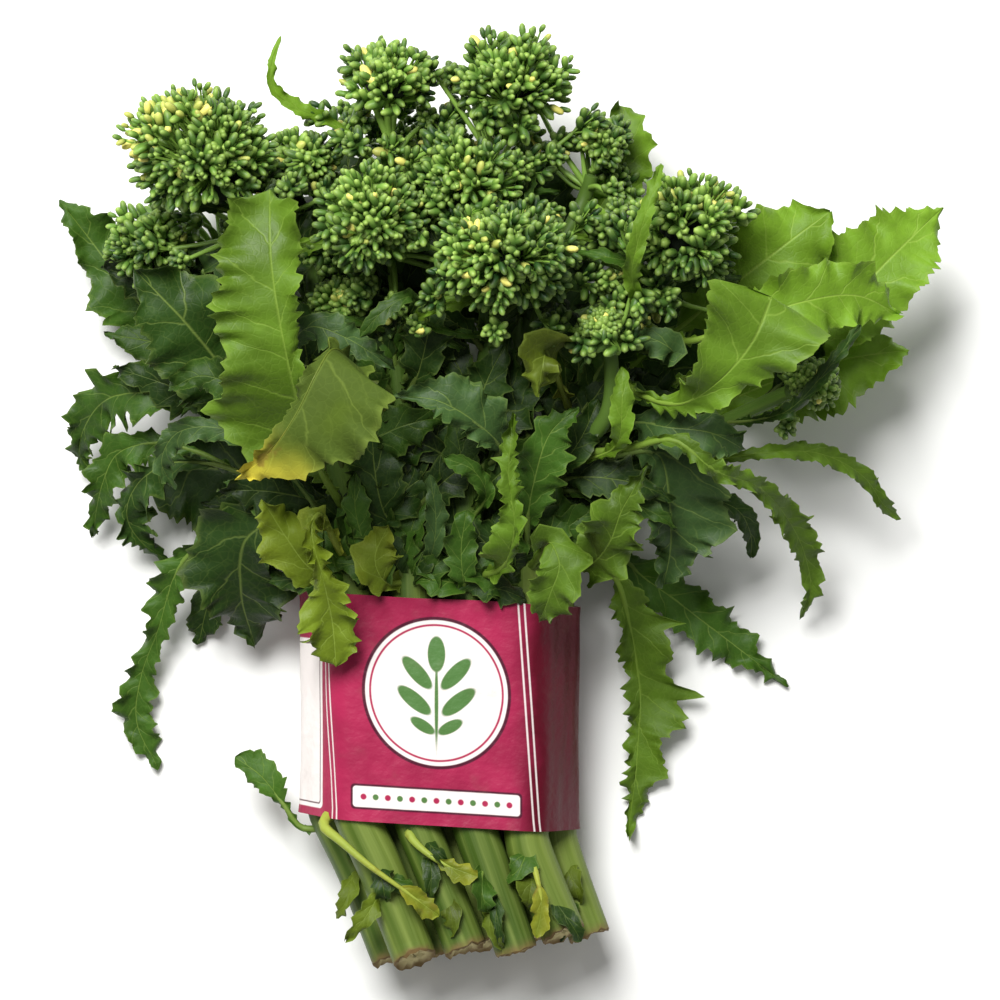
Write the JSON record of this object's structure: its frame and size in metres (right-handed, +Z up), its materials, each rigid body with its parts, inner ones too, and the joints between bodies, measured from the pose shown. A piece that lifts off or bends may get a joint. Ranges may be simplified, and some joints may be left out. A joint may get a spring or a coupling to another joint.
{
  "type": "broccoli raab bunch",
  "caption": "Lying bunch of broccoli raab: leafy flowering stalks with tight heads of green buds, held by a printed paper band round the cut stalks.",
  "frame": {"origin": "middle of the bunch's bounding box, on the surface that it lies on", "axes": "+Z up from the surface; +Y along the bunch from the cut ends to the flower heads; +X to the right in the picture"},
  "size_m": [0.329, 0.3462, 0.1316],
  "materials": {
    "band_paper": "satin",
    "stalk": "satin",
    "buds": "satin",
    "leaf_dark": "satin",
    "leaf_mid": "satin",
    "leaf_blue": "satin",
    "leaf_bright": "satin",
    "leaf_yellow": "satin"
  },
  "bodies": {
    "root": {"band": "band_paper", "stalk_a1": "stalk", "stalk_a2": "stalk", "stalk_a3": "stalk", "stalk_a4": "stalk", "stalk_b1": "stalk", "stalk_b2": "stalk", "stalk_b3": "stalk", "stalk_b4": "stalk", "stalk_b5": "stalk", "stalk_c1": "stalk", "stalk_c2": "stalk", "stalk_c3": "stalk", "stalk_c4": "stalk", "head_front": "buds", "head_centre": "buds", "head_left": "buds", "head_top_left": "buds", "head_top_right": "buds", "head_upper_left": "buds", "head_far_left": "buds", "head_right": "buds", "head_right_back": "buds", "head_under_left": "buds", "head_under_centre": "buds", "head_under_right": "buds", "leaf_tall": "leaf_bright", "leaf_folded": "leaf_yellow", "leaf_rolled": "leaf_mid", "leaf_crossing": "leaf_blue", "leaf_left_high": "leaf_dark", "leaf_far_left": "leaf_mid", "leaf_left_arc": "leaf_blue", "leaf_left_big": "leaf_dark", "leaf_droop_low": "leaf_mid", "leaf_droop_near": "leaf_dark", "leaf_hanging": "leaf_mid", "leaf_pale": "leaf_yellow", "leaf_over_band": "leaf_yellow", "leaf_olive": "leaf_yellow", "leaf_veined": "leaf_blue", "leaf_spotted": "leaf_yellow", "leaf_centre_strip": "leaf_bright", "leaf_centre_low": "leaf_bright", "leaf_centre_right": "leaf_bright", "leaf_behind": "leaf_mid", "leaf_blue_low": "leaf_blue", "leaf_blue_high": "leaf_blue", "leaf_big_right": "leaf_bright", "leaf_right_high": "leaf_bright", "leaf_right_mid": "leaf_bright", "leaf_far_right": "leaf_bright", "leaf_right_low": "leaf_bright", "leaf_long_lobed": "leaf_bright", "leaf_low_right": "leaf_mid", "leaf_under_left": "leaf_dark", "leaf_under_inner_left": "leaf_dark", "leaf_under_inner_right": "leaf_dark", "leaf_under_right": "leaf_dark"}
  },
  "joints": []
}
